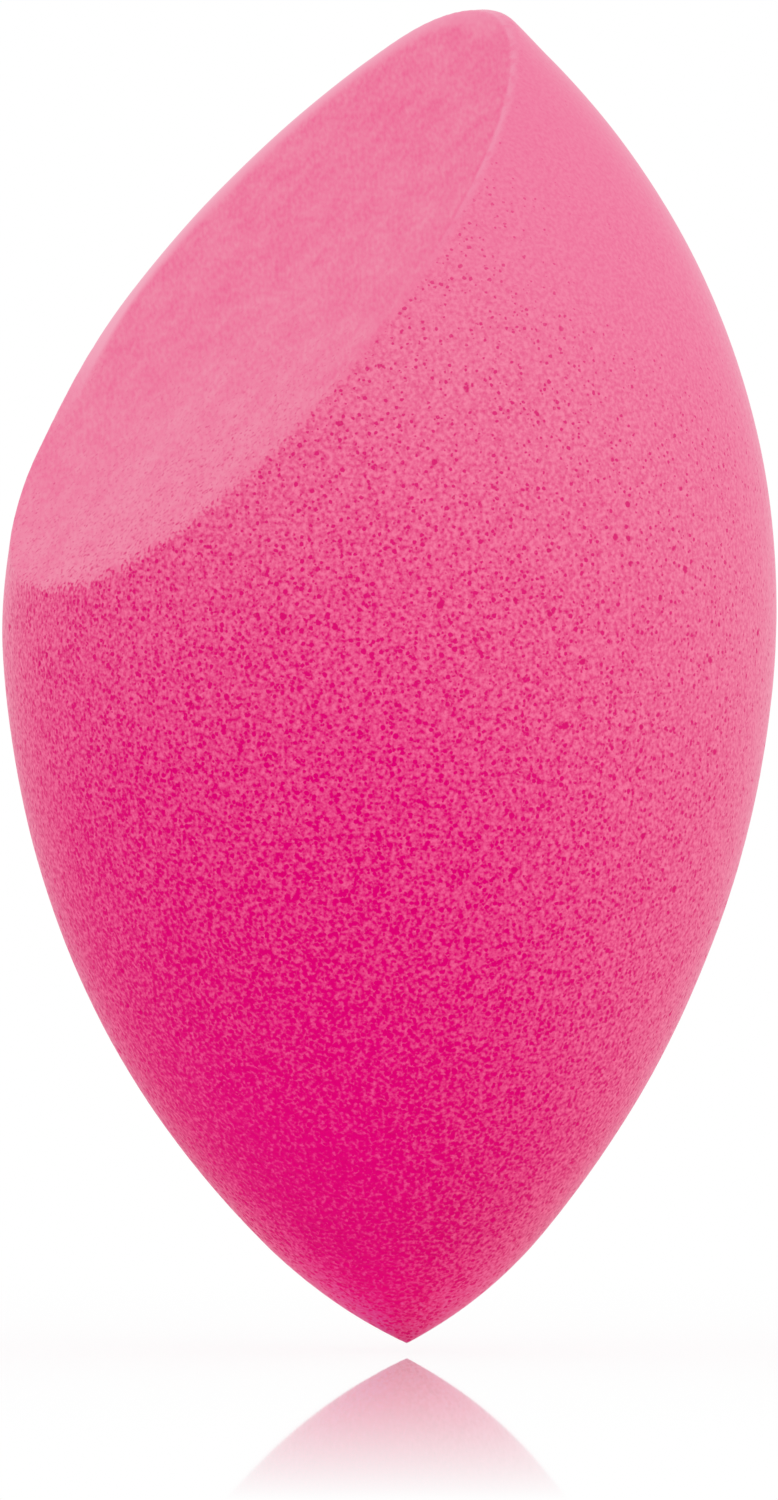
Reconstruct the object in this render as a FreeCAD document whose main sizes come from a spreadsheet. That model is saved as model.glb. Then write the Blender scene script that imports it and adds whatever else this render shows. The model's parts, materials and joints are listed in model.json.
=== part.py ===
import FreeCAD, Part
import math
import os
import Sketcher

# Makeup sponge: one block of foam, turned to a pointed egg and sliced once at an angle.
# The tip stands on the origin, +Z runs up the egg's axis and the sliced face looks to -Y and up.

# Driving dimensions, in millimetres and degrees
dimensions = {
    "sponge_diameter": 38,  # across the widest circle
    "widest_height": 36.2,  # of the widest circle above the tip
    "blank_length": 69,  # of the egg before it is sliced, tip to top
    "belly_radius_share": 1.045,  # of the single arc that would join the widest circle to the tip
    "nose_radius": 23.5,  # of the fuller arc between the belly and the tip
    "tip_radius": 0.8,  # of the rounding at the tip
    "cut_drop": 9.4,  # from the blank's top down the axis to the slice
    "cut_angle": 40,  # between the slice and the axis
    "cut_edge_radius": 0.6,  # of the rounding round the sliced face
}

doc = FreeCAD.newDocument("MakeupSponge")
sheet = doc.addObject("Spreadsheet::Sheet", "Dimensions")
for row, (alias, value) in enumerate(dimensions.items(), start=1):
    sheet.set("A%d" % row, alias)
    sheet.set("B%d" % row, str(value))
    sheet.setAlias("B%d" % row, alias)
doc.recompute()


def origin_plane(body, role):
    return next(feature for feature in body.Origin.OriginFeatures if feature.Role == role)


def new_sketch(body, name, role):
    sketch = body.newObject("Sketcher::SketchObject", name)
    sketch.AttachmentSupport = [(origin_plane(body, role), "")]
    sketch.MapMode = "FlatFace"
    return sketch


def drive(sketch, name, expression, kind, *where_and_value):
    index = sketch.addConstraint(Sketcher.Constraint(kind, *where_and_value))
    sketch.renameConstraint(index, name)
    sketch.setExpression("Constraints." + name, expression)


def arc(centre, radius, start, end):
    circle = Part.Circle(centre, FreeCAD.Vector(0, 0, 1), radius)
    return Part.ArcOfCircle(circle, start, end)


# Profile of the whole egg, in the XZ plane: four arcs, each tangent to the next, and the axis.
# The belly is flatter than one arc from the widest circle to the tip, so the nose turns in faster.
def sketch_profile(body):
    radius = sheet.sponge_diameter / 2
    widest = sheet.widest_height
    nose_radius = sheet.nose_radius
    tip_radius = sheet.tip_radius
    belly_radius = sheet.belly_radius_share * (radius ** 2 + widest ** 2) / (2 * radius)
    rise = sheet.blank_length - widest
    crown_radius = (radius ** 2 + rise ** 2) / (2 * radius)

    origin = FreeCAD.Vector(0, 0, 0)
    top = FreeCAD.Vector(0, sheet.blank_length, 0)
    tip_centre = FreeCAD.Vector(0, tip_radius, 0)
    belly_centre = FreeCAD.Vector(radius - belly_radius, widest, 0)
    crown_centre = FreeCAD.Vector(radius - crown_radius, widest, 0)

    # The nose arc touches the tip's circle from outside it and the belly's from inside it
    to_belly = belly_centre - tip_centre
    gap = to_belly.Length
    from_tip = nose_radius - tip_radius
    from_belly = belly_radius - nose_radius
    along = (from_tip ** 2 + gap ** 2 - from_belly ** 2) / (2 * gap)
    aside = math.sqrt(from_tip ** 2 - along ** 2)
    to_belly.normalize()
    nose_centre = tip_centre + to_belly * along + FreeCAD.Vector(to_belly.y, -to_belly.x, 0) * aside

    leave_tip = math.atan2(tip_radius - nose_centre.y, -nose_centre.x)
    join = math.atan2(nose_centre.y - widest, nose_centre.x - belly_centre.x)
    crown_end = math.atan2(rise, crown_radius - radius)

    sketch = new_sketch(body, "Profile", "XZ_Plane")
    tip = sketch.addGeometry(arc(tip_centre, tip_radius, -math.pi / 2, leave_tip))
    nose = sketch.addGeometry(arc(nose_centre, nose_radius, leave_tip, join))
    belly = sketch.addGeometry(arc(belly_centre, belly_radius, join, 0))
    crown = sketch.addGeometry(arc(crown_centre, crown_radius, 0, crown_end))
    axis = sketch.addGeometry(Part.LineSegment(top, origin))

    start, end, centre = 1, 2, 3
    root, upright = -1, -2
    sketch.addConstraint([
        Sketcher.Constraint("Coincident", tip, start, root, start),
        Sketcher.Constraint("PointOnObject", tip, centre, upright),
        Sketcher.Constraint("Tangent", tip, end, nose, start),
        Sketcher.Constraint("Tangent", nose, end, belly, start),
        Sketcher.Constraint("Tangent", belly, end, crown, start),
        Sketcher.Constraint("Horizontal", belly, centre, belly, end),
        Sketcher.Constraint("PointOnObject", crown, end, upright),
        Sketcher.Constraint("Coincident", axis, start, crown, end),
        Sketcher.Constraint("Coincident", axis, end, tip, start),
    ])
    drive(sketch, "TipRadius", "Dimensions.tip_radius", "Radius", tip, tip_radius)
    drive(sketch, "NoseRadius", "Dimensions.nose_radius", "Radius", nose, nose_radius)
    drive(sketch, "BellyRadius",
          "Dimensions.belly_radius_share * (Dimensions.sponge_diameter / 4"
          " + Dimensions.widest_height ^ 2 / Dimensions.sponge_diameter)",
          "Radius", belly, belly_radius)
    drive(sketch, "WidestRadius", "Dimensions.sponge_diameter / 2",
          "DistanceX", root, start, belly, end, radius)
    drive(sketch, "WidestHeight", "Dimensions.widest_height",
          "DistanceY", root, start, belly, end, widest)
    drive(sketch, "BlankLength", "Dimensions.blank_length",
          "DistanceY", root, start, crown, end, sheet.blank_length)
    return sketch


# Waste above the slice, in the YZ plane: a rectangle whose long side lies along the slice.
# It reaches a whole blank length each way from the axis, so it always clears the egg.
def sketch_waste(body):
    cut_height = sheet.blank_length - sheet.cut_drop
    reach = sheet.blank_length
    slope = math.radians(90 - sheet.cut_angle)
    along = FreeCAD.Vector(math.cos(slope), math.sin(slope), 0) * reach
    outward = FreeCAD.Vector(-math.sin(slope), math.cos(slope), 0) * reach
    middle = FreeCAD.Vector(0, cut_height, 0)
    corners = [middle - along, middle + along, middle + along + outward, middle - along + outward]

    sketch = new_sketch(body, "Waste", "YZ_Plane")
    sides = []
    for here, there in zip(corners, corners[1:] + corners[:1]):
        sides.append(sketch.addGeometry(Part.LineSegment(here, there)))
    slice_line, back, top, front = sides
    crossing = sketch.addGeometry(Part.Point(middle), True)

    start, end = 1, 2
    root, upright = -1, -2
    for side, following in zip(sides, sides[1:] + sides[:1]):
        sketch.addConstraint(Sketcher.Constraint("Coincident", side, end, following, start))
    sketch.addConstraint([
        Sketcher.Constraint("Perpendicular", slice_line, back),
        Sketcher.Constraint("Perpendicular", back, top),
        Sketcher.Constraint("Perpendicular", top, front),
        Sketcher.Constraint("PointOnObject", crossing, start, upright),
        Sketcher.Constraint("Symmetric", slice_line, start, slice_line, end, crossing, start),
    ])
    drive(sketch, "CutHeight", "Dimensions.blank_length - Dimensions.cut_drop",
          "DistanceY", root, start, crossing, start, cut_height)
    drive(sketch, "CutSlope", "(90 - Dimensions.cut_angle) * 1 deg", "Angle", slice_line, slope)
    drive(sketch, "CutReach", "2 * Dimensions.blank_length", "Distance", slice_line, 2 * reach)
    drive(sketch, "WasteDepth", "Dimensions.blank_length", "Distance", back, reach)
    return sketch


def flat_face(shape):
    return next(face for face in shape.Faces if isinstance(face.Surface, Part.Plane))


def edge_names(shape, wanted):
    names = []
    for number, edge in enumerate(shape.Edges, start=1):
        if any(edge.isSame(other) for other in wanted):
            names.append("Edge%d" % number)
    return names


def make_foam_body():
    body = doc.addObject("PartDesign::Body", "FoamBody")
    body.Label = "foam_body"
    body.Placement = FreeCAD.Placement()

    profile = sketch_profile(body)
    egg = body.newObject("PartDesign::Revolution", "Egg")
    egg.Profile = profile
    egg.ReferenceAxis = (profile, ["V_Axis"])
    egg.Angle = 360

    waste = sketch_waste(body)
    slanted_cut = body.newObject("PartDesign::Pocket", "SlantedCut")
    slanted_cut.Profile = waste
    slanted_cut.SideType = "Symmetric"
    slanted_cut.Type = "ThroughAll"
    doc.recompute()

    rim = body.newObject("PartDesign::Fillet", "CutRim")
    rim.Base = (slanted_cut, edge_names(slanted_cut.Shape, flat_face(slanted_cut.Shape).Edges))
    rim.setExpression("Radius", "Dimensions.cut_edge_radius")
    doc.recompute()

    # Each step has to take foam away
    if not egg.Shape.Volume > slanted_cut.Shape.Volume > rim.Shape.Volume:
        raise RuntimeError("a cut in the sponge removed nothing")
    return body


bodies = [make_foam_body()]

for item in doc.Objects:
    if "Invalid" in item.State or "Error" in item.State:
        raise RuntimeError("%s failed: %s" % (item.Name, item.State))
for body in bodies:
    if body.Shape.isNull() or not body.Shape.isValid():
        raise RuntimeError("%s has no valid solid" % body.Label)

os.makedirs("parts", exist_ok=True)
for body in bodies:
    body.Shape.exportStep("parts/%s.step" % body.Label)
    box = body.Shape.BoundBox
    facet = flat_face(body.Shape)
    print("%s: %.2f x %.2f x %.2f mm" % (body.Label, box.XLength, box.YLength, box.ZLength))
    print("  lowest %.4f, volume %.0f cubic mm" % (box.ZMin, body.Shape.Volume))
    print("  sliced face: middle %s, normal %s" % (facet.CenterOfMass, facet.normalAt(0, 0)))
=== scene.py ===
import json
import math

import bmesh
import bpy
import numpy as np
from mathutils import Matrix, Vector


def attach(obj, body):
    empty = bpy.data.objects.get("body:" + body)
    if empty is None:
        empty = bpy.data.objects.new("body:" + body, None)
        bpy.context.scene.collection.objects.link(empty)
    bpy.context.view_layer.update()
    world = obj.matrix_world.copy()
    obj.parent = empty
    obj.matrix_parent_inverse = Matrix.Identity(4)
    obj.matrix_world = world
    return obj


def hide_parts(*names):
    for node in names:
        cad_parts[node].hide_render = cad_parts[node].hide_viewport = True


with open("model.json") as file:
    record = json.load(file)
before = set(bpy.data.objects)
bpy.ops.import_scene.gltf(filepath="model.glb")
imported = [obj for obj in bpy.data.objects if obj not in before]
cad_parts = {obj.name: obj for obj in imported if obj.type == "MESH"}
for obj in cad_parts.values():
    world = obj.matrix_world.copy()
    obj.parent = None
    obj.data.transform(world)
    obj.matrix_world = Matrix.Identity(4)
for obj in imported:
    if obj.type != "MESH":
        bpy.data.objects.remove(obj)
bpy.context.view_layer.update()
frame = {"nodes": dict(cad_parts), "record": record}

mm = 0.001
scene = bpy.context.scene
scene.view_settings.view_transform = "Standard"
print("frame loaded, nodes:", sorted(frame["nodes"]))

# Flat face of the slice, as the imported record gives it
slicedFace = next(mount for mount in frame["record"]["mounts"] if mount["name"] == "sliced_face")
sliceNormal = Vector(slicedFace["axis"]).normalized()
sliceReach = sliceNormal.dot(Vector(slicedFace["pos_m"]))  # from the tip to the plane of the slice

# Camera: level with the middle of the picture, looking at the photographed side
shot = {
    "azimuth": 60.0,
    "aimHeight": 29.02 * mm,
    "pictureHeight": 73.59 * mm,  # what the picture spans at the sponge's axis
    "lens": 400.0,
    "sensor": 36.0,
    "clip": (0.01, 10.0),
}
turned = math.radians(shot["azimuth"])
toCamera = Vector((math.sin(turned), -math.cos(turned), 0.0))
toRight = Vector((math.cos(turned), math.sin(turned), 0.0))
upward = Vector((0.0, 0.0, 1.0))
target = Vector((0.0, 0.0, shot["aimHeight"]))


def makeCamera():
    optics = bpy.data.cameras.new("camera")
    optics.lens = shot["lens"]
    optics.sensor_width = shot["sensor"]
    optics.clip_start, optics.clip_end = shot["clip"]
    camera = bpy.data.objects.new("camera", optics)
    camera.location = target + toCamera * (shot["pictureHeight"] * shot["lens"] / shot["sensor"])
    camera.rotation_euler = (-toCamera).to_track_quat("-Z", "Y").to_euler()
    scene.collection.objects.link(camera)
    scene.camera = camera


# Node helpers, for the shaders and for the pores alike

def addNode(tree, kind, **settings):
    node = tree.nodes.new(kind)
    for name, value in settings.items():
        setattr(node, name, value)
    return node


def feed(tree, socket, value):
    if isinstance(value, bpy.types.NodeSocket):
        tree.links.new(value, socket)
    elif value is not None:
        socket.default_value = value


def maths(tree, operation, first, second=None, third=None, clamp=False):
    node = addNode(tree, "ShaderNodeMath", operation=operation, use_clamp=clamp)
    for socket, value in zip(node.inputs, (first, second, third)):
        feed(tree, socket, value)
    return node.outputs[0]


def times(tree, *factors):
    product = factors[0]
    for factor in factors[1:]:
        product = maths(tree, "MULTIPLY", product, factor)
    return product


def vectorMaths(tree, operation, first, second=None, scale=None):
    node = addNode(tree, "ShaderNodeVectorMath", operation=operation)
    feed(tree, node.inputs[0], first)
    feed(tree, node.inputs[1], second)
    feed(tree, node.inputs[3], scale)
    return node.outputs[1 if operation in {"DOT_PRODUCT", "LENGTH"} else 0]


def remap(tree, value, fromLow, fromHigh, toLow=0.0, toHigh=1.0, smooth=True):
    node = addNode(tree, "ShaderNodeMapRange", interpolation_type="SMOOTHSTEP" if smooth else "LINEAR")
    for name, given in (("Value", value), ("From Min", fromLow), ("From Max", fromHigh),
                        ("To Min", toLow), ("To Max", toHigh)):
        feed(tree, node.inputs[name], given)
    return node.outputs["Result"]


def noise(tree, place, scale, detail):
    node = addNode(tree, "ShaderNodeTexNoise")
    feed(tree, node.inputs["Vector"], place)
    feed(tree, node.inputs["Scale"], scale)
    feed(tree, node.inputs["Detail"], detail)
    return node


# Noise about zero, from -0.5 to 0.5
def ripple(tree, place, scale, detail=1.0):
    return maths(tree, "SUBTRACT", noise(tree, place, scale, detail).outputs[0], 0.5)


def cells(tree, place, size):
    node = addNode(tree, "ShaderNodeTexVoronoi", voronoi_dimensions="3D", feature="F1")
    feed(tree, node.inputs["Vector"], place)
    feed(tree, node.inputs["Scale"], 1 / size)
    return node


def heightOf(tree, place):
    node = addNode(tree, "ShaderNodeSeparateXYZ")
    feed(tree, node.inputs[0], place)
    return node.outputs["Z"]


# Blank for the foam: a fine copy of the solid, whose tip leans a little

blank = {
    "weld": 0.001 * mm,  # joins the solid's loose triangles
    "voxel": 0.1 * mm,  # fine enough to hold the pores
    "leanAndLitSide": (0.5, 0.866, 0.0),  # the tip leans towards this side, and the foam is painted paler there: painted light as if lit from this side
    "frontSide": (0.866, -0.5, 0.0),  # a quarter turn from it, towards the camera
    "lean": 0.86 * mm,
    "leanHeight": 19.6 * mm,  # below this the tip drifts off the axis
}


def leanOf(place):
    share = max(0.0, 1 - place.z / blank["leanHeight"])
    return Vector(blank["leanAndLitSide"]) * (blank["lean"] * share ** 2)


def blankMesh():
    shape = bmesh.new()
    shape.from_mesh(frame["nodes"]["foam_body"].data)
    bmesh.ops.remove_doubles(shape, verts=shape.verts, dist=blank["weld"])
    for vert in shape.verts:
        vert.co += leanOf(vert.co)
    mesh = bpy.data.meshes.new("sponge_foam")
    shape.to_mesh(mesh)
    shape.free()
    return mesh


# Small cells of the foam: their spacing, and how far their openings reach as a share of it
grain = {
    "cell": 0.3 * mm,
    "spread": 0.5,  # cells differ in size
    "uneven": 0.12 * mm,  # and their edges are rough
    "unevenShare": 0.4,
    "closed": -0.08,  # reach in closed foam, where few cells open
    "open": 0.36,  # and in open foam
    "curve": 0.4,
    "soft": 0.07,
}

# Odd wider holes among them
holes = {
    "cell": 0.9 * mm,
    "warp": 0.2 * mm,  # bends them out of round
    "warpShare": 0.7,
    "radii": (0.01 * mm, 0.22 * mm),  # the least is too small to see
    "chances": (0.5, 0.9),  # a cell's chance up to which it has the least, and from which the widest
    "wall": 0.6,  # share of the way in where a hole is at its full depth
    "opennessAndShade": (0.0, 0.3),  # of the foam, from no holes to all
    "tintWall": 0.4,  # the same two for the colour
    "tintOpennessAndShade": (0.03, 0.15),
}


# Full in a small cell's opening, nothing on the walls between
def openGrain(tree, place, opennessAndShade):
    cell = cells(tree, place, grain["cell"])
    rough = ripple(tree, place, 1 / grain["uneven"])
    reach = maths(tree, "MULTIPLY_ADD", rough, grain["unevenShare"], cell.outputs["Distance"])
    chance = maths(tree, "SUBTRACT", cell.outputs["Color"], 0.5)
    reach = maths(tree, "MULTIPLY_ADD", chance, grain["spread"], reach)
    edge = remap(tree, maths(tree, "POWER", opennessAndShade, grain["curve"]), 0.0, 1.0,
                 grain["closed"], grain["open"], smooth=False)
    outer = maths(tree, "ADD", edge, grain["soft"])
    inner = maths(tree, "SUBTRACT", edge, grain["soft"])
    return remap(tree, reach, outer, inner)


# Share of the way from a wide hole's rim to its middle
def wideHole(tree, place):
    bend = noise(tree, place, holes["warpShare"] / holes["warp"], detail=1.0).outputs["Color"]
    bend = vectorMaths(tree, "SUBTRACT", bend, (0.5, 0.5, 0.5))
    warped = vectorMaths(tree, "ADD", place, vectorMaths(tree, "SCALE", bend, scale=holes["warp"]))
    cell = cells(tree, warped, holes["cell"])
    away = vectorMaths(tree, "LENGTH", vectorMaths(tree, "SUBTRACT", cell.outputs["Position"], warped))
    radius = remap(tree, cell.outputs["Color"], *holes["chances"], *holes["radii"], smooth=False)
    return maths(tree, "SUBTRACT", 1.0, maths(tree, "DIVIDE", away, radius), clamp=True)


# Foam body: the egg with its slice, opened by a crowd of small pores.
# Single numbers here become inputs of the pore tree. A pair is where a change starts and ends.
foam = {
    "wobble": 0.05 * mm,  # gentle unevenness of the ground surface
    "wobbleSize": 9 * mm,
    "closedHeight": 59 * mm,  # pores are finest up here, where the colour is also painted lighter: painted light from above
    "openHeight": 9 * mm,  # and widest down here, where the colour is also painted darker: painted shade
    "patch": 3 * mm,  # the change from one to the other is patchy
    "patchSize": 6 * mm,
    "axisGuard": 0.3 * mm,  # keeps directions calm on the axis itself
    "sideFrom": -0.15,  # from here towards the lit side the foam is painted paler and its pores close: painted light from that side
    "sideCurve": 1.35,
    "sideShare": 0.65,
    "oppositeCurve": 6.0,  # and a little at the edge opposite: painted sheen along that edge
    "oppositeShare": 0.3,
    "speckle": 0.1,  # coloured dots reach further up the crown beside the slice
    "speckleSides": (0.72, 0.22),
    "speckleHeights": (44 * mm, 50 * mm),
    "grainDepth": 0.03 * mm,
    "holeDepth": 0.07 * mm,
    "sliceFade": 0.2 * mm,  # the pores are whole from this depth below the slice
    "softFade": 0.3 * mm,  # its low end has a softer border
    "softHeight": 38 * mm,
    "crispHeight": 46 * mm,
    "fadeStart": 0.15,  # share of that depth at which they begin
    "point": 0.1 * mm,  # the tip ends in a sharp point
    "pointWidth": 0.4 * mm,
    "pointHeights": (1.5 * mm, 1 * mm),
    "paleInsets": (3.4 * mm, 0.2 * mm),  # two sides run up from it painted paler: painted sheen on the tip's edges
    "paleHeights": (11 * mm, 2 * mm),
    "crownRadius": 37.81 * mm,  # of the egg's arc above its widest circle
    "widestRadius": 19 * mm,
    "widestHeight": 36.2 * mm,
    "farSides": (8 * mm, -8 * mm),  # across the slice, from the near side to the far one
    "rounding": 0.36 * mm,  # the slice swells a little inside its far edge
    "roundWidth": 1.4 * mm,
    "roundHeights": (43 * mm, 56 * mm),
    "roundDepths": (0.1 * mm, 0.0),
    "worn": 0.34 * mm,  # off the far corner at the slice's low end
    "wornUp": (34 * mm, 41.5 * mm),  # heights over which it grows from below
    "wornDown": (53 * mm, 44 * mm),  # and from above
    "wornSides": (-0.7, -0.97),
    "wornDepths": (8 * mm, 0.5 * mm),
    "peak": 0.15 * mm,  # the very top stands a little fuller
    "peakHeights": (63 * mm, 65.3 * mm),
    "rimWidth": 2.1 * mm,  # pale rim along the slice's far edge: painted sheen where the slice turns away
    "rimInner": 1.1 * mm,
    "rimDepths": (0.8 * mm, 0.3 * mm),
    "rimHeights": (44.5 * mm, 50 * mm),
    "rimGrowth": (50 * mm, 58 * mm),  # it widens from here to here
    "rimShares": (0.8, 1.45),
}
foamSizes = [key for key, value in foam.items() if isinstance(value, float)]


# closedHeight becomes Closed Height
def inputName(key):
    return "".join(" " + letter if letter.isupper() else letter for letter in key).title()


def swell(tree, place, size, amount):
    ups = ripple(tree, place, maths(tree, "DIVIDE", 1.0, size))
    return times(tree, ups, amount, 2.0)


# Where a point of the skin lies
def measureSpot(tree, given):
    place = addNode(tree, "GeometryNodeInputPosition").outputs[0]
    alongNormal = vectorMaths(tree, "DOT_PRODUCT", place, given["sliceNormal"])
    outFrom = vectorMaths(tree, "LENGTH", vectorMaths(tree, "MULTIPLY", place, (1.0, 1.0, 0.0)))
    aside = vectorMaths(tree, "DOT_PRODUCT", place, blank["leanAndLitSide"])
    return {
        "place": place,
        "height": heightOf(tree, place),
        "below": maths(tree, "SUBTRACT", given["sliceReach"], alongNormal),  # depth under the slice's plane
        "outFrom": outFrom,  # reach from the axis
        "aside": aside,  # reach towards the side the tip leans to, which is also the painted lit side
        "side": maths(tree, "DIVIDE", aside, maths(tree, "ADD", outFrom, given["axisGuard"])),
    }


# How open the foam is, with painted light and shade in it: paler at the top and towards the lit side, darker
# towards the bottom, with a painted sheen at the opposite edge; and the share that this painted light and
# sheen leave
def foamOpennessAndShade(tree, given, spot):
    level = maths(tree, "ADD", spot["height"], swell(tree, spot["place"], given["patchSize"], given["patch"]))
    # partly real opening of the pores, partly painted light and shade: lighter at the top, darker towards the
    # bottom
    opennessAndShade = remap(tree, level, given["closedHeight"], given["openHeight"], smooth=False)
    # painted light: the foam paler towards the lit side
    paintedLightAndSheen = remap(tree, spot["side"], given["sideFrom"], 1.0, smooth=False)
    paintedLightAndSheen = times(tree, maths(tree, "POWER", paintedLightAndSheen, given["sideCurve"]), given["sideShare"])
    # painted sheen: paler again at the opposite edge
    opposite = maths(tree, "MAXIMUM", times(tree, spot["side"], -1.0), 0.0)
    opposite = maths(tree, "POWER", opposite, given["oppositeCurve"])
    paintedLightAndSheen = maths(tree, "MULTIPLY_ADD", opposite, given["oppositeShare"], paintedLightAndSheen)
    remaining = maths(tree, "SUBTRACT", 1.0, paintedLightAndSheen)
    return times(tree, opennessAndShade, remaining), remaining


# Openness with painted shade that the coloured dots follow: on the crown, more beside the slice and less on
# the painted lit side
def dotOpennessAndShade(tree, given, spot, opennessAndShade):
    beside = remap(tree, spot["side"], *foam["speckleSides"], -1.0, 1.0)
    beside = times(tree, beside, remap(tree, spot["height"], *foam["speckleHeights"]))
    return maths(tree, "MULTIPLY_ADD", beside, given["speckle"], opennessAndShade, clamp=True)


# Share of pores here: all on the flanks, none on the slice
def poreShare(tree, given, spot):
    fade = remap(tree, spot["height"], given["softHeight"], given["crispHeight"],
                 given["softFade"], given["sliceFade"])
    return remap(tree, spot["below"], times(tree, fade, given["fadeStart"]), fade)


# Tip, measured from its leaning axis: the two sides painted paler as painted sheen, and the sharp point
def tipForms(tree, given, spot, remaining):
    lift = maths(tree, "DIVIDE", spot["height"], blank["leanHeight"])
    lift = maths(tree, "SUBTRACT", 1.0, lift, clamp=True)
    shift = times(tree, lift, lift, blank["lean"])
    aside = maths(tree, "ABSOLUTE", maths(tree, "SUBTRACT", spot["aside"], shift))
    ahead = vectorMaths(tree, "DOT_PRODUCT", spot["place"], blank["frontSide"])
    around = maths(tree, "ADD", times(tree, aside, aside), times(tree, ahead, ahead))
    around = maths(tree, "SQRT", around)
    inset = maths(tree, "SUBTRACT", around, aside)
    # painted sheen: the tip's edges painted paler
    pale = times(tree, remap(tree, inset, *foam["paleInsets"]),
                 remap(tree, spot["height"], *foam["paleHeights"]), remaining, remaining)
    point = maths(tree, "SUBTRACT", 1.0, maths(tree, "DIVIDE", around, given["pointWidth"]), clamp=True)
    point = times(tree, point, point, remap(tree, spot["height"], *foam["pointHeights"]), given["point"])
    return pale, point


# Slice: how far it and the very top stand fuller, how far its corner is worn in, and its pale rim, which is
# painted sheen
def sliceForms(tree, given, spot):
    height = spot["height"]
    below = spot["below"]
    crown = given["crownRadius"]
    rise = maths(tree, "SUBTRACT", height, given["widestHeight"])
    arch = maths(tree, "SUBTRACT", times(tree, crown, crown), times(tree, rise, rise))
    arch = maths(tree, "SQRT", arch)
    egg = maths(tree, "ADD", arch, maths(tree, "SUBTRACT", given["widestRadius"], crown))
    gap = maths(tree, "SUBTRACT", egg, spot["outFrom"])
    farSide = remap(tree, vectorMaths(tree, "DOT_PRODUCT", spot["place"], (1.0, 0.0, 0.0)), *foam["farSides"])

    turn = maths(tree, "SUBTRACT", 1.0, maths(tree, "DIVIDE", gap, given["roundWidth"]), clamp=True)
    dome = maths(tree, "SUBTRACT", 1.0, times(tree, turn, turn))
    dome = times(tree, dome, remap(tree, height, *foam["roundHeights"]), given["rounding"],
                 remap(tree, below, *foam["roundDepths"]), farSide)
    fuller = maths(tree, "MULTIPLY_ADD", remap(tree, height, *foam["peakHeights"]), given["peak"], dome)
    worn = times(tree, remap(tree, height, *foam["wornUp"]), remap(tree, height, *foam["wornDown"]),
                 remap(tree, spot["side"], *foam["wornSides"]), remap(tree, below, *foam["wornDepths"]),
                 given["worn"])
    # painted sheen: a pale rim inside the slice's far edge
    reach = times(tree, given["rimWidth"], remap(tree, height, *foam["rimGrowth"], *foam["rimShares"]))
    rim = times(tree, remap(tree, gap, reach, given["rimInner"]), remap(tree, below, *foam["rimDepths"]),
                farSide, remap(tree, height, *foam["rimHeights"]))
    return fuller, worn, rim


# How far the small cells and the wider holes sink below the skin
def poreDepth(tree, given, spot, opennessAndShade):
    shallow = times(tree, openGrain(tree, spot["place"], opennessAndShade), opennessAndShade, given["grainDepth"])
    deep = times(tree, remap(tree, wideHole(tree, spot["place"]), 0.0, holes["wall"]),
                 remap(tree, opennessAndShade, *holes["opennessAndShade"]), given["holeDepth"])
    return maths(tree, "MAXIMUM", shallow, deep)


def poreTree():
    tree = bpy.data.node_groups.new("foamPores", "GeometryNodeTree")
    face = tree.interface
    face.new_socket("Geometry", in_out="INPUT", socket_type="NodeSocketGeometry")
    for key in foamSizes + ["sliceReach"]:
        face.new_socket(inputName(key), in_out="INPUT", socket_type="NodeSocketFloat")
    face.new_socket(inputName("sliceNormal"), in_out="INPUT", socket_type="NodeSocketVector")
    face.new_socket("Material", in_out="INPUT", socket_type="NodeSocketMaterial")
    face.new_socket("Geometry", in_out="OUTPUT", socket_type="NodeSocketGeometry")
    inputs = addNode(tree, "NodeGroupInput").outputs
    given = {key: inputs[inputName(key)] for key in foamSizes + ["sliceReach", "sliceNormal"]}

    spot = measureSpot(tree, given)
    opennessAndShade, remaining = foamOpennessAndShade(tree, given, spot)
    speckle = dotOpennessAndShade(tree, given, spot, opennessAndShade)
    flank = poreShare(tree, given, spot)
    pale, point = tipForms(tree, given, spot, remaining)
    fuller, worn, rim = sliceForms(tree, given, spot)
    sunk = times(tree, poreDepth(tree, given, spot, opennessAndShade), flank)

    # What the material reads
    marked = inputs["Geometry"]
    for name, value in (("skin", spot["place"]), ("opennessAndShade", opennessAndShade), ("flank", flank),
                        ("below", spot["below"]), ("rim", rim), ("speckle", speckle), ("pale", pale)):
        kind = "FLOAT_VECTOR" if name == "skin" else "FLOAT"
        node = addNode(tree, "GeometryNodeStoreNamedAttribute", data_type=kind, domain="POINT")
        feed(tree, node.inputs["Geometry"], marked)
        feed(tree, node.inputs["Name"], name)
        feed(tree, node.inputs["Value"], value)
        marked = node.outputs[0]

    out = maths(tree, "ADD", swell(tree, spot["place"], given["wobbleSize"], given["wobble"]), fuller)
    out = maths(tree, "ADD", out, point)
    out = maths(tree, "SUBTRACT", out, maths(tree, "ADD", sunk, worn))
    normal = addNode(tree, "GeometryNodeInputNormal").outputs[0]
    move = addNode(tree, "GeometryNodeSetPosition")
    feed(tree, move.inputs["Geometry"], marked)
    feed(tree, move.inputs["Offset"], vectorMaths(tree, "SCALE", normal, scale=out))
    smooth = addNode(tree, "GeometryNodeSetShadeSmooth")
    feed(tree, smooth.inputs["Geometry"], move.outputs[0])
    whole = addNode(tree, "GeometryNodeRealizeInstances")
    feed(tree, whole.inputs[0], smooth.outputs[0])
    dressed = addNode(tree, "GeometryNodeSetMaterial")
    feed(tree, dressed.inputs["Geometry"], whole.outputs[0])
    feed(tree, dressed.inputs["Material"], inputs["Material"])
    feed(tree, addNode(tree, "NodeGroupOutput").inputs[0], dressed.outputs[0])
    return tree
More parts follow.
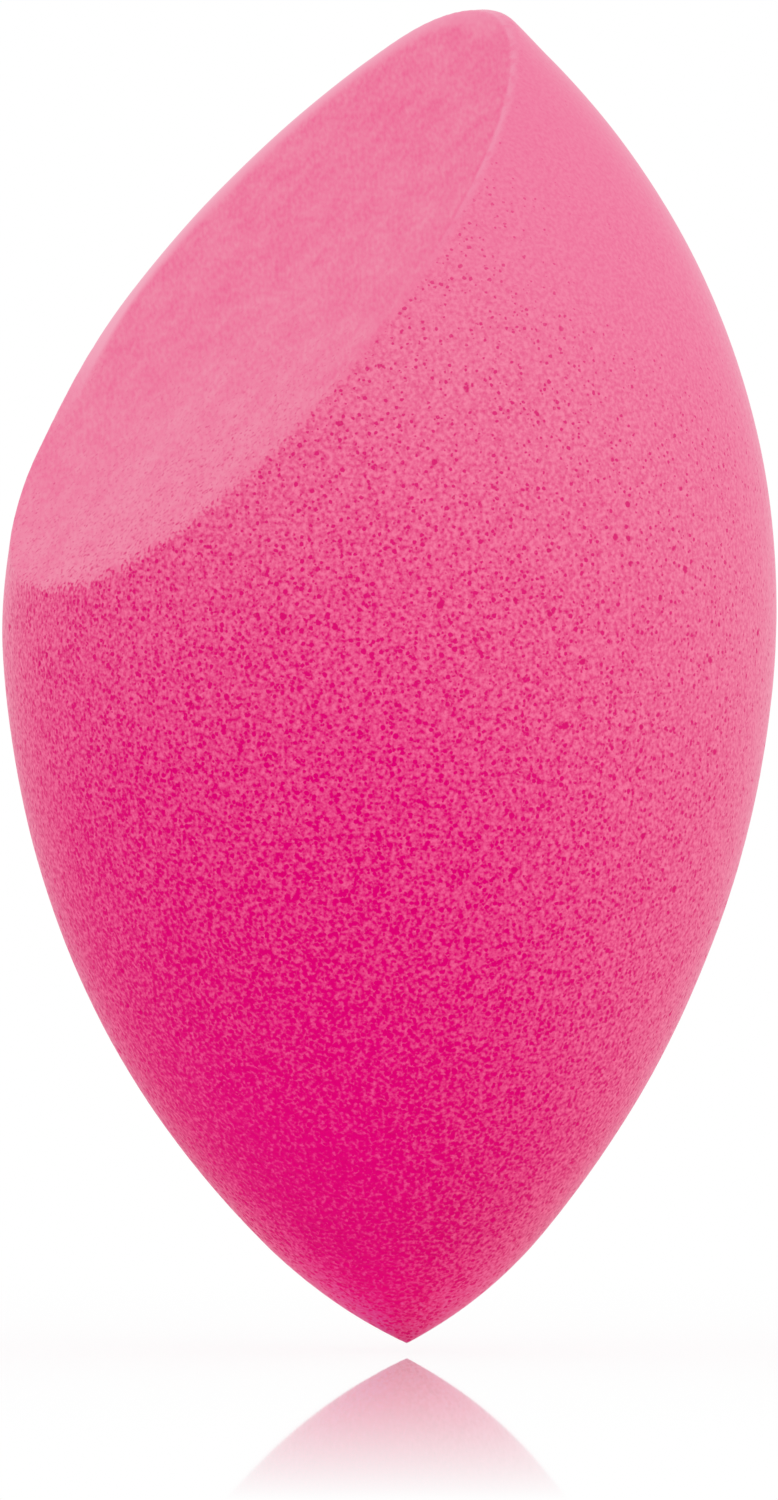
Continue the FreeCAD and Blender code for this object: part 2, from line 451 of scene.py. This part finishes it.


# Finish of the foam: pale struts, deep magenta pores, a smooth pale slice.
# The colours of struts and pores run from closed foam to open foam, and so from painted light at the top and
# on the lit side to painted shade towards the bottom.
foamLook = {
    "struts": [(0.89, 0.226, 0.385), (0.92, 0.236, 0.390), (0.94, 0.185, 0.360),
               (0.95, 0.145, 0.345), (0.97, 0.135, 0.345), (0.99, 0.105, 0.375)],
    "pores": [(0.82, 0.110, 0.280), (0.75, 0.035, 0.200), (0.75, 0.010, 0.180),
              (0.76, 0.000, 0.180), (0.78, 0.000, 0.188), (0.83, 0.000, 0.215)],
    "depths": (0.17, 0.96),  # share of pore colour, from closed foam to open foam, and so from the painted-lit top to the painted shade below
    "depthCurve": 1.22,
    "mottle": 0.2 * mm,  # fine mottling, stronger in open foam
    "mottleShares": (1.0, 2.6),
    "mottleFull": 0.4,
    "dotShare": 0.82,  # how much deeper an opening is
    "tipSheenShare": 0.7,  # and how much less deep the tip's sides are painted: painted sheen on its edges
    "tipLightHeights": (6 * mm, 0.5 * mm),  # the tip is painted brighter here: painted light against the shade the floor casts
    "tipPaintedLight": (1.2, 1.0, 1.25),
    "brightest": (0.99, 0.99, 0.99),
    "slice": [(0.87, 0.090, 0.275), (0.91, 0.250, 0.400)],
    "slicePaleness": (0.58, 0.80),  # from its high end to its low end
    "sliceOpennessAndShade": (0.0, 0.35),
    "sliceEdge": 0.25 * mm,
    "ragged": 3 * mm,  # mottling breaks up its low border
    "streakCross": (1.0, 0.731, 0.870),  # faint streaks: two directions on the slice and their sizes
    "streakWidth": 0.36 * mm,
    "streakWay": (0.0, 0.973, 1.159),
    "streakLength": 0.6 * mm,
    "streakShare": 1.0,
    "cloud": 1.6 * mm,  # and faint clouds
    "cloudShare": 0.9,
    "ridgeHighlight": (0.90, 0.300, 0.450),  # painted highlight: thin pale line along the upper part of the slice's edge
    "ridgeHeights": (48 * mm, 60 * mm),
    "ridgeShare": 0.95,
    "ridgeInner": 0.06 * mm,
    "ridgeOuter": (0.36 * mm, 0.1 * mm),
    "frayed": 0.7 * mm,  # its outer limit is frayed
    "frayReach": 0.6 * mm,
    "frayRange": (-0.15, 0.1),
    "frayShares": (0.35, 1.0),
    # painted sheen along the slice's far edge
    "farRimSheen": (0.93, 0.370, 0.510),
    "bumpStrength": 0.1,
    "bumpDepth": 0.05 * mm,
    "sheen": 0.48,
    "sheenRoughness": 0.32,
    "shine": 0.0,
    "roughness": 0.9,
}


def mixColour(tree, share, first, second):
    node = addNode(tree, "ShaderNodeMix", data_type="RGBA")
    for socket, value in ((node.inputs[0], share), (node.inputs[6], first), (node.inputs[7], second)):
        if isinstance(value, tuple):
            value = (*value, 1.0)
        feed(tree, socket, value)
    return node.outputs[2]


def colourRamp(tree, share, colours):
    ramp = addNode(tree, "ShaderNodeValToRGB")
    stops = ramp.color_ramp.elements
    while len(stops) < len(colours):
        stops.new(0.5)
    for index, colour in enumerate(colours):
        stops[index].position = index / (len(colours) - 1)
        stops[index].color = (*colour, 1.0)
    feed(tree, ramp.inputs[0], share)
    return ramp.outputs[0]


def attribute(tree, name, output="Fac"):
    return addNode(tree, "ShaderNodeAttribute", attribute_name=name).outputs[output]


# Openings of the small cells and the wider holes, as the colour shows them
def openings(tree, skin):
    speckle = attribute(tree, "speckle")
    wide = times(tree, remap(tree, wideHole(tree, skin), 0.0, holes["tintWall"]),
                 remap(tree, speckle, *holes["tintOpennessAndShade"]))
    return times(tree, maths(tree, "MAXIMUM", openGrain(tree, skin, speckle), wide), attribute(tree, "flank"))


# Flanks: struts and pores mixed by a mottled depth, deepest in the openings; the tip's sides painted paler as
# painted sheen, and the tip painted brighter as painted light against the floor's shade
def flankColour(tree, skin, opennessAndShade, mottle, gaps):
    depth = remap(tree, maths(tree, "POWER", opennessAndShade, foamLook["depthCurve"]), 0.0, 1.0,
                  *foamLook["depths"], smooth=False)
    strength = remap(tree, opennessAndShade, 0.0, foamLook["mottleFull"], *foamLook["mottleShares"], smooth=False)
    depth = maths(tree, "MULTIPLY_ADD", mottle, strength, depth)
    # painted sheen: less pore colour on the tip's edges
    depth = maths(tree, "MULTIPLY_ADD", attribute(tree, "pale"), -foamLook["tipSheenShare"], depth)
    depth = maths(tree, "MULTIPLY_ADD", gaps, foamLook["dotShare"], depth, clamp=True)
    # struts and pores lighter at the top and on the lit side, deeper at the bottom: partly painted light and
    # shade
    colour = mixColour(tree, depth, colourRamp(tree, opennessAndShade, foamLook["struts"]),
                       colourRamp(tree, opennessAndShade, foamLook["pores"]))
    # painted light: the tip painted brighter against the floor's shade
    tipLit = vectorMaths(tree, "MULTIPLY", colour, foamLook["tipPaintedLight"])
    tipLit = vectorMaths(tree, "MINIMUM", tipLit, foamLook["brightest"])
    return mixColour(tree, remap(tree, heightOf(tree, skin), *foamLook["tipLightHeights"]), colour, tipLit)


# Slice: smooth, faintly streaked and clouded
def sliceColour(tree, skin, opennessAndShade):
    brushed = addNode(tree, "ShaderNodeCombineXYZ")
    ways = (("streakCross", "streakWidth"), ("streakWay", "streakLength"))
    for socket, (way, size) in zip(brushed.inputs, ways):
        along = vectorMaths(tree, "DOT_PRODUCT", skin, foamLook[way])
        feed(tree, socket, maths(tree, "DIVIDE", along, foamLook[size]))
    streaks = ripple(tree, brushed.outputs[0], 1.0)
    clouds = ripple(tree, skin, 1 / foamLook["cloud"], detail=3.0)
    paler = remap(tree, opennessAndShade, *foamLook["sliceOpennessAndShade"], *foamLook["slicePaleness"])
    paler = maths(tree, "MULTIPLY_ADD", clouds, foamLook["cloudShare"], paler)
    paler = maths(tree, "MULTIPLY_ADD", streaks, foamLook["streakShare"], paler)
    return colourRamp(tree, paler, foamLook["slice"])


# Painted highlight: a thin pale ridge just outside the slice, frayed on its outer side
def paintedRidgeHighlight(tree, skin, below):
    frayed = ripple(tree, skin, 1 / foamLook["frayed"], detail=2.0)
    across = maths(tree, "MULTIPLY_ADD", frayed, foamLook["frayReach"], below)
    return times(tree, remap(tree, below, 0.0, foamLook["ridgeInner"]),
                 remap(tree, across, *foamLook["ridgeOuter"]),
                 remap(tree, heightOf(tree, skin), *foamLook["ridgeHeights"], 0.0, foamLook["ridgeShare"]),
                 remap(tree, frayed, *foamLook["frayRange"], *foamLook["frayShares"]))


def foamMaterial():
    material = bpy.data.materials.new("pinkFoam")
    material.use_nodes = True
    tree = material.node_tree
    tree.nodes.clear()
    skin = attribute(tree, "skin", "Vector")
    opennessAndShade = attribute(tree, "opennessAndShade")
    below = attribute(tree, "below")
    mottle = ripple(tree, skin, 1 / foamLook["mottle"], detail=2.0)
    gaps = openings(tree, skin)

    ragged = times(tree, mottle, opennessAndShade, foamLook["ragged"])
    border = remap(tree, maths(tree, "ADD", below, ragged), 0.0, foamLook["sliceEdge"])
    colour = mixColour(tree, border, sliceColour(tree, skin, opennessAndShade),
                       flankColour(tree, skin, opennessAndShade, mottle, gaps))
    # painted sheen along the slice's far edge
    colour = mixColour(tree, attribute(tree, "rim"), colour, foamLook["farRimSheen"])
    # painted highlight along the slice's upper edge
    colour = mixColour(tree, paintedRidgeHighlight(tree, skin, below), colour, foamLook["ridgeHighlight"])

    bump = addNode(tree, "ShaderNodeBump", invert=True)
    feed(tree, bump.inputs["Strength"], foamLook["bumpStrength"])
    feed(tree, bump.inputs["Distance"], foamLook["bumpDepth"])
    feed(tree, bump.inputs["Height"], gaps)
    foamShader = addNode(tree, "ShaderNodeBsdfPrincipled")
    feed(tree, foamShader.inputs["Base Color"], colour)
    feed(tree, foamShader.inputs["Roughness"], foamLook["roughness"])
    feed(tree, foamShader.inputs["Specular IOR Level"], foamLook["shine"])
    feed(tree, foamShader.inputs["Sheen Weight"], foamLook["sheen"])
    feed(tree, foamShader.inputs["Sheen Roughness"], foamLook["sheenRoughness"])
    feed(tree, foamShader.inputs["Normal"], bump.outputs[0])
    end = addNode(tree, "ShaderNodeOutputMaterial")
    feed(tree, end.inputs["Surface"], foamShader.outputs[0])
    return material


# One unrolled map of the whole skin, with its seam at the back
def unroll(mesh):
    places = np.empty(len(mesh.vertices) * 3, np.float32)
    mesh.vertices.foreach_get("co", places)
    places = places.reshape(-1, 3) - np.array(target)
    turns = np.arctan2(places @ np.array(toRight), places @ np.array(toCamera)) / (2 * math.pi) + 0.5
    rises = np.arctan2(places[:, 2], np.hypot(places[:, 0], places[:, 1])) / math.pi + 0.5
    corners = np.empty(len(mesh.loops), np.int32)
    mesh.loops.foreach_get("vertex_index", corners)
    starts = np.empty(len(mesh.polygons), np.int32)
    mesh.polygons.foreach_get("loop_start", starts)
    counts = np.diff(np.append(starts, len(corners)))
    across = turns[corners]
    spans = np.maximum.reduceat(across, starts) - np.minimum.reduceat(across, starts)
    across[np.repeat(spans > 0.5, counts) & (across < 0.5)] += 1.0  # faces over the seam run on past it
    across /= max(1.0, across.max())
    layer = mesh.uv_layers.new(name="OFBake", do_init=False)
    layer.uv.foreach_set("vector", np.stack([across, rises[corners]], 1).astype(np.float32).ravel())


def makeFoam():
    piece = bpy.data.objects.new("sponge_foam", blankMesh())
    scene.collection.objects.link(piece)
    fineMesh = piece.modifiers.new("fineMesh", "REMESH")
    fineMesh.mode = "VOXEL"
    fineMesh.voxel_size = blank["voxel"]
    tree = poreTree()
    pores = piece.modifiers.new("pores", "NODES")
    pores.node_group = tree
    values = {inputName(key): foam[key] for key in foamSizes}
    values["Slice Reach"] = sliceReach
    values["Slice Normal"] = sliceNormal
    values["Material"] = foamMaterial()
    for socket in tree.interface.items_tree:
        if socket.in_out == "INPUT" and socket.name in values:
            pores[socket.identifier] = values[socket.name]
    graph = bpy.context.evaluated_depsgraph_get()
    mesh = bpy.data.meshes.new_from_object(piece.evaluated_get(graph), depsgraph=graph)
    piece.modifiers.clear()
    piece.data = mesh
    unroll(mesh)
    print("foam:", len(mesh.vertices), "vertices,", len(mesh.polygons), "faces")
    return piece


sponge = makeFoam()
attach(sponge, "root")
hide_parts("foam_body")


# Studio: white all round, a glossy pale floor that mirrors the tip, one soft lamp

studio = {
    "floorDrop": 0.45 * mm,  # the mirrored tip stands a little clear of the real one
    "floorSize": 6.0,
    "floorColour": (0.95, 0.95, 0.95, 1.0),
    "mirrorReach": 163 * mm,  # the mirror image fades out by here
    "mirrorStrength": 0.84,
    "mirrorFade": 1.8,  # how late it fades
    "mirrorRoughness": 0.02,
    "mirrorIor": 1.5,
    "shadowReach": 120 * mm,
    "shadowShare": 0.3,
    "roomLight": 0.97,
}


def lightPathSeen(tree):
    path = addNode(tree, "ShaderNodeLightPath")
    seen = maths(tree, "MAXIMUM", path.outputs["Is Camera Ray"], path.outputs["Is Glossy Ray"])
    return maths(tree, "MAXIMUM", seen, path.outputs["Is Transmission Ray"])


def mixShaders(tree, share, first, second):
    node = addNode(tree, "ShaderNodeMixShader")
    feed(tree, node.inputs[0], share)
    feed(tree, node.inputs[1], first.outputs[0])
    feed(tree, node.inputs[2], second.outputs[0])
    return node


def makeWorld():
    world = bpy.data.worlds.new("whiteRoom")
    world.use_nodes = True
    tree = world.node_tree
    tree.nodes.clear()
    white = addNode(tree, "ShaderNodeBackground")
    room = addNode(tree, "ShaderNodeBackground")
    for light, strength in ((white, 1.0), (room, studio["roomLight"])):
        feed(tree, light.inputs["Color"], (1.0, 1.0, 1.0, 1.0))
        feed(tree, light.inputs["Strength"], strength)
    pick = mixShaders(tree, lightPathSeen(tree), room, white)
    feed(tree, addNode(tree, "ShaderNodeOutputWorld").inputs["Surface"], pick.outputs[0])
    scene.world = world


def floorMaterial():
    material = bpy.data.materials.new("paleFloor")
    material.use_nodes = True
    tree = material.node_tree
    tree.nodes.clear()
    place = addNode(tree, "ShaderNodeTexCoord").outputs["Object"]
    distance = vectorMaths(tree, "LENGTH", place)
    matt = addNode(tree, "ShaderNodeBsdfDiffuse")
    feed(tree, matt.inputs["Color"], studio["floorColour"])
    white = addNode(tree, "ShaderNodeEmission")
    feed(tree, white.inputs["Color"], (1.0, 1.0, 1.0, 1.0))
    mirror = addNode(tree, "ShaderNodeBsdfGlossy")
    feed(tree, mirror.inputs["Color"], (1.0, 1.0, 1.0, 1.0))
    feed(tree, mirror.inputs["Roughness"], studio["mirrorRoughness"])
    shadow = remap(tree, distance, 0.0, studio["shadowReach"], studio["shadowShare"], 0.0)
    seen = mixShaders(tree, shadow, white, matt)
    fresnel = addNode(tree, "ShaderNodeFresnel")
    feed(tree, fresnel.inputs["IOR"], studio["mirrorIor"])
    away = maths(tree, "DIVIDE", distance, studio["mirrorReach"], clamp=True)
    near = maths(tree, "SUBTRACT", 1.0, maths(tree, "POWER", away, studio["mirrorFade"]), clamp=True)
    strength = times(tree, near, fresnel.outputs[0], studio["mirrorStrength"])
    glossy = mixShaders(tree, strength, seen, mirror)
    pick = mixShaders(tree, lightPathSeen(tree), matt, glossy)
    feed(tree, addNode(tree, "ShaderNodeOutputMaterial").inputs["Surface"], pick.outputs[0])
    return material


def makeFloor():
    half = studio["floorSize"] / 2
    corners = [(-half, -half, 0), (half, -half, 0), (half, half, 0), (-half, half, 0)]
    mesh = bpy.data.meshes.new("floor")
    mesh.from_pydata(corners, [], [(0, 1, 2, 3)])
    floor = bpy.data.objects.new("floor", mesh)
    floor.location.z = -studio["floorDrop"]
    floor.data.materials.append(floorMaterial())
    scene.collection.objects.link(floor)


# Lamps: how far to the right, up and towards the camera, then size and power
lamps = {
    "rightFront": (0.42, 0.1, 0.35, 0.3, 0.15),
}


def makeLamps():
    for name, (right, above, near, size, power) in lamps.items():
        lamp = bpy.data.lights.new(name, "AREA")
        lamp.shape = "SQUARE"
        lamp.size = size
        lamp.energy = power
        holder = bpy.data.objects.new(name, lamp)
        holder.visible_camera = False
        holder.location = target + toRight * right + upward * above + toCamera * near
        holder.rotation_euler = (target - holder.location).to_track_quat("-Z", "Y").to_euler()
        scene.collection.objects.link(holder)


makeWorld()
makeFloor()
makeCamera()
makeLamps()
print("studio ready, lamps:", sorted(lamps))
